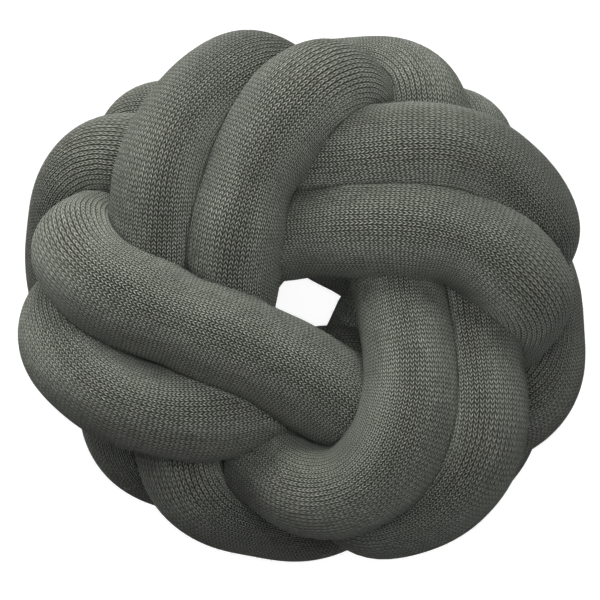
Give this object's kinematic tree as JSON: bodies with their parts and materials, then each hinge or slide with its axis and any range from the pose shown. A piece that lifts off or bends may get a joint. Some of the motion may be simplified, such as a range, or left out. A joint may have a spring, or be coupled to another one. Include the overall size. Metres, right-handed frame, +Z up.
{
  "type": "knot cushion",
  "caption": "Ball-knot cushion: one long stuffed tube of ribbed knit, led twice round a woven knot of arms, lying on its back.",
  "frame": {"origin": "middle of the cushion's box at the surface it lies on", "axes": "+Z up through the middle hole, out of the face that the picture shows; +Y towards the picture's top edge; +X towards its right edge"},
  "size_m": [0.304, 0.285, 0.1622],
  "materials": {
    "grey_green_knit": "matt grey-green melange jersey knit, wales running along the tube"
  },
  "bodies": {
    "root": {"knot_tube": "grey_green_knit"}
  },
  "joints": []
}
